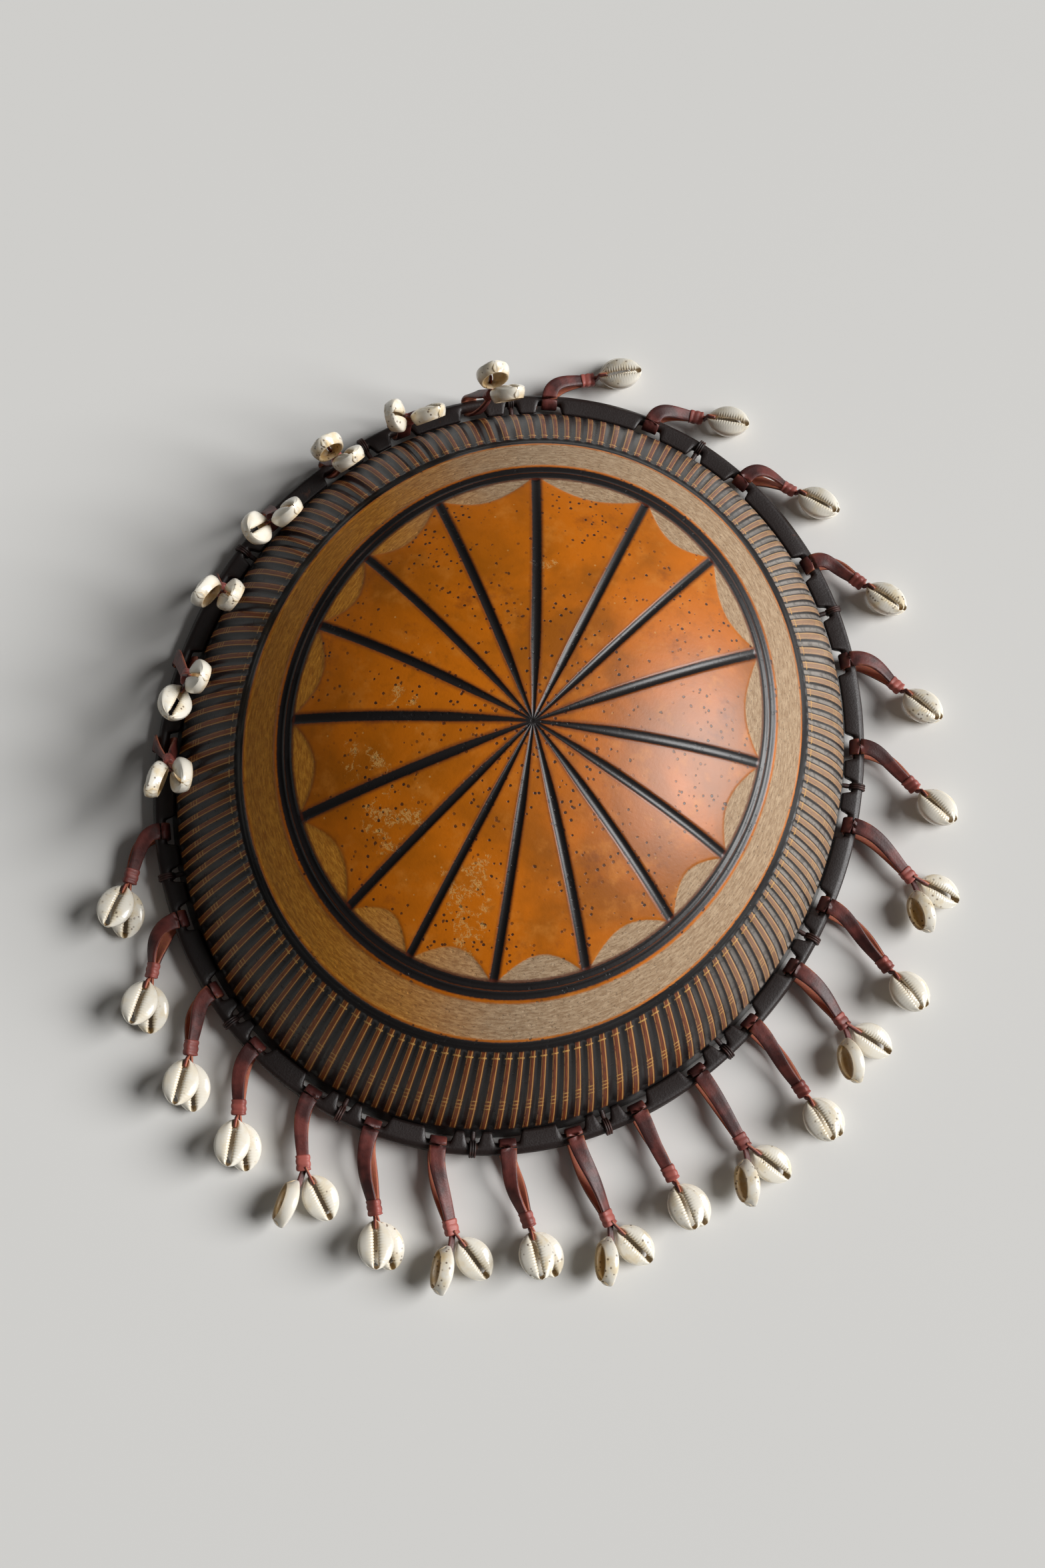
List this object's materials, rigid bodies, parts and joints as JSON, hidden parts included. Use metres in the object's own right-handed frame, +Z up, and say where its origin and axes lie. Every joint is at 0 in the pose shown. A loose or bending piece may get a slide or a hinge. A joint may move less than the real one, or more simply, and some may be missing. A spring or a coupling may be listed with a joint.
{
  "type": "shekere",
  "caption": "Oval half-calabash rattle, mouth down, burnt and carved in rings, with a leather cord lashed round the rim and swinging thongs that end in cowrie shells.",
  "frame": {"origin": "centre of the mouth, in the plane of the cut rim that it rests on", "axes": "+Z up through the dome's crown, +Y along the oval's long axis, +X across it"},
  "size_m": [0.3834, 0.444, 0.103],
  "materials": {
    "gourd": "burnt, carved and polished",
    "cord_leather": "rolled, worn",
    "tie_leather": "matt",
    "thong_leather": "grained, worn",
    "cowrie": "glossy shell"
  },
  "bodies": {
    "bowl": {"gourd_bowl": "gourd", "rim_cord": "cord_leather", "cord_ties": "tie_leather"},
    "tassel_01": {"tassel_01_thong": "thong_leather", "tassel_01_cowries": "cowrie"},
    "tassel_02": {"tassel_02_thong": "thong_leather", "tassel_02_cowries": "cowrie"},
    "tassel_03": {"tassel_03_thong": "thong_leather", "tassel_03_cowries": "cowrie"},
    "tassel_04": {"tassel_04_thong": "thong_leather", "tassel_04_cowries": "cowrie"},
    "tassel_05": {"tassel_05_thong": "thong_leather", "tassel_05_cowries": "cowrie"},
    "tassel_06": {"tassel_06_thong": "thong_leather", "tassel_06_cowries": "cowrie"},
    "tassel_07": {"tassel_07_thong": "thong_leather", "tassel_07_cowries": "cowrie"},
    "tassel_08": {"tassel_08_thong": "thong_leather", "tassel_08_cowries": "cowrie"},
    "tassel_09": {"tassel_09_thong": "thong_leather", "tassel_09_cowries": "cowrie"},
    "tassel_10": {"tassel_10_thong": "thong_leather", "tassel_10_cowries": "cowrie"},
    "tassel_11": {"tassel_11_thong": "thong_leather", "tassel_11_cowries": "cowrie"},
    "tassel_12": {"tassel_12_thong": "thong_leather", "tassel_12_cowries": "cowrie"},
    "tassel_13": {"tassel_13_thong": "thong_leather", "tassel_13_cowries": "cowrie"},
    "tassel_14": {"tassel_14_thong": "thong_leather", "tassel_14_cowries": "cowrie"},
    "tassel_15": {"tassel_15_thong": "thong_leather", "tassel_15_cowries": "cowrie"},
    "tassel_16": {"tassel_16_thong": "thong_leather", "tassel_16_cowries": "cowrie"},
    "tassel_17": {"tassel_17_thong": "thong_leather", "tassel_17_cowries": "cowrie"},
    "tassel_18": {"tassel_18_thong": "thong_leather", "tassel_18_cowries": "cowrie"},
    "tassel_19": {"tassel_19_thong": "thong_leather", "tassel_19_cowries": "cowrie"},
    "tassel_20": {"tassel_20_thong": "thong_leather", "tassel_20_cowries": "cowrie"},
    "tassel_21": {"tassel_21_thong": "thong_leather", "tassel_21_cowries": "cowrie"},
    "tassel_22": {"tassel_22_thong": "thong_leather", "tassel_22_cowries": "cowrie"},
    "tassel_23": {"tassel_23_thong": "thong_leather", "tassel_23_cowries": "cowrie"},
    "tassel_24": {"tassel_24_thong": "thong_leather", "tassel_24_cowries": "cowrie"},
    "tassel_25": {"tassel_25_thong": "thong_leather", "tassel_25_cowries": "cowrie"},
    "tassel_26": {"tassel_26_thong": "thong_leather", "tassel_26_cowries": "cowrie"},
    "tassel_27": {"tassel_27_thong": "thong_leather", "tassel_27_cowries": "cowrie"},
    "tassel_28": {"tassel_28_thong": "thong_leather", "tassel_28_cowries": "cowrie"}
  },
  "joints": [
    {"name": "tassel_01_swing", "type": "hinge", "parent": "bowl", "child": "tassel_01", "pos_m": [0.15771, 0.02986, 0.0075], "axis": [0.1463, -0.9892, 0], "range_deg": [-78, 100]},
    {"name": "tassel_02_swing", "type": "hinge", "parent": "bowl", "child": "tassel_02", "pos_m": [0.14846, 0.06718, 0.0075], "axis": [0.3333, -0.9428, 0], "range_deg": [-78, 100]},
    {"name": "tassel_03_swing", "type": "hinge", "parent": "bowl", "child": "tassel_03", "pos_m": [0.12969, 0.10582, 0.0075], "axis": [0.5376, -0.8432, 0], "range_deg": [-78, 100]},
    {"name": "tassel_04_swing", "type": "hinge", "parent": "bowl", "child": "tassel_04", "pos_m": [0.09623, 0.14447, 0.0075], "axis": [0.761, -0.6488, 0], "range_deg": [-78, 100]},
    {"name": "tassel_05_swing", "type": "hinge", "parent": "bowl", "child": "tassel_05", "pos_m": [0.05074, 0.17155, 0.0075], "axis": [0.9352, -0.354, 0], "range_deg": [-78, 100]},
    {"name": "tassel_06_swing", "type": "hinge", "parent": "bowl", "child": "tassel_06", "pos_m": [-0.0014, 0.18089, 0.0075], "axis": [1, 0.0099, 0], "range_deg": [-78, 100]},
    {"name": "tassel_07_swing", "type": "hinge", "parent": "bowl", "child": "tassel_07", "pos_m": [-0.05206, 0.17104, 0.0075], "axis": [0.9318, 0.363, 0], "range_deg": [-78, 100]},
    {"name": "tassel_08_swing", "type": "hinge", "parent": "bowl", "child": "tassel_08", "pos_m": [-0.08591, 0.15257, 0.0075], "axis": [0.8113, 0.5847, 0], "range_deg": [-184, 0]},
    {"name": "tassel_09_swing", "type": "hinge", "parent": "bowl", "child": "tassel_09", "pos_m": [-0.11366, 0.12724, 0.0075], "axis": [0.6584, 0.7527, 0], "range_deg": [-184, 0]},
    {"name": "tassel_10_swing", "type": "hinge", "parent": "bowl", "child": "tassel_10", "pos_m": [-0.1356, 0.09586, 0.0075], "axis": [0.4835, 0.8754, 0], "range_deg": [-184, 0]},
    {"name": "tassel_11_swing", "type": "hinge", "parent": "bowl", "child": "tassel_11", "pos_m": [-0.15091, 0.05979, 0.0075], "axis": [0.2957, 0.9553, 0], "range_deg": [-184, 0]},
    {"name": "tassel_12_swing", "type": "hinge", "parent": "bowl", "child": "tassel_12", "pos_m": [-0.15884, 0.02079, 0.0075], "axis": [0.1017, 0.9948, 0], "range_deg": [-184, 0]},
    {"name": "tassel_13_swing", "type": "hinge", "parent": "bowl", "child": "tassel_13", "pos_m": [-0.15899, -0.01922, 0.0075], "axis": [-0.094, 0.9956, 0], "range_deg": [-184, 0]},
    {"name": "tassel_14_swing", "type": "hinge", "parent": "bowl", "child": "tassel_14", "pos_m": [-0.15119, -0.0589, 0.0075], "axis": [-0.2912, 0.9567, 0], "range_deg": [-184, 0]},
    {"name": "tassel_15_swing", "type": "hinge", "parent": "bowl", "child": "tassel_15", "pos_m": [-0.13531, -0.0964, 0.0075], "axis": [-0.4864, 0.8738, 0], "range_deg": [-78, 100]},
    {"name": "tassel_16_swing", "type": "hinge", "parent": "bowl", "child": "tassel_16", "pos_m": [-0.11148, -0.12969, 0.0075], "axis": [-0.6726, 0.74, 0], "range_deg": [-78, 100]},
    {"name": "tassel_17_swing", "type": "hinge", "parent": "bowl", "child": "tassel_17", "pos_m": [-0.08473, -0.15341, 0.0075], "axis": [-0.8166, 0.5773, 0], "range_deg": [-78, 100]},
    {"name": "tassel_18_swing", "type": "hinge", "parent": "bowl", "child": "tassel_18", "pos_m": [-0.05782, -0.16866, 0.0075], "axis": [-0.9157, 0.4018, 0], "range_deg": [-78, 100]},
    {"name": "tassel_19_swing", "type": "hinge", "parent": "bowl", "child": "tassel_19", "pos_m": [-0.02667, -0.17837, 0.0075], "axis": [-0.9822, 0.1879, 0], "range_deg": [-78, 100]},
    {"name": "tassel_20_swing", "type": "hinge", "parent": "bowl", "child": "tassel_20", "pos_m": [0.00335, -0.18086, 0.0075], "axis": [-0.9997, -0.0237, 0], "range_deg": [-78, 100]},
    {"name": "tassel_21_swing", "type": "hinge", "parent": "bowl", "child": "tassel_21", "pos_m": [0.03325, -0.17695, 0.0075], "axis": [-0.9723, -0.2338, 0], "range_deg": [-78, 100]},
    {"name": "tassel_22_swing", "type": "hinge", "parent": "bowl", "child": "tassel_22", "pos_m": [0.06248, -0.16652, 0.0075], "axis": [-0.9014, -0.4329, 0], "range_deg": [-78, 100]},
    {"name": "tassel_23_swing", "type": "hinge", "parent": "bowl", "child": "tassel_23", "pos_m": [0.08825, -0.15085, 0.0075], "axis": [-0.8005, -0.5994, 0], "range_deg": [-78, 100]},
    {"name": "tassel_24_swing", "type": "hinge", "parent": "bowl", "child": "tassel_24", "pos_m": [0.11108, -0.13013, 0.0075], "axis": [-0.6752, -0.7376, 0], "range_deg": [-78, 100]},
    {"name": "tassel_25_swing", "type": "hinge", "parent": "bowl", "child": "tassel_25", "pos_m": [0.13066, -0.10428, 0.0075], "axis": [-0.5291, -0.8486, 0], "range_deg": [-78, 100]},
    {"name": "tassel_26_swing", "type": "hinge", "parent": "bowl", "child": "tassel_26", "pos_m": [0.14573, -0.07444, 0.0075], "axis": [-0.3707, -0.9288, 0], "range_deg": [-78, 100]},
    {"name": "tassel_27_swing", "type": "hinge", "parent": "bowl", "child": "tassel_27", "pos_m": [0.15528, -0.04315, 0.0075], "axis": [-0.2122, -0.9772, 0], "range_deg": [-78, 100]},
    {"name": "tassel_28_swing", "type": "hinge", "parent": "bowl", "child": "tassel_28", "pos_m": [0.15965, -0.0101, 0.0075], "axis": [-0.0494, -0.9988, 0], "range_deg": [-78, 100]}
  ]
}
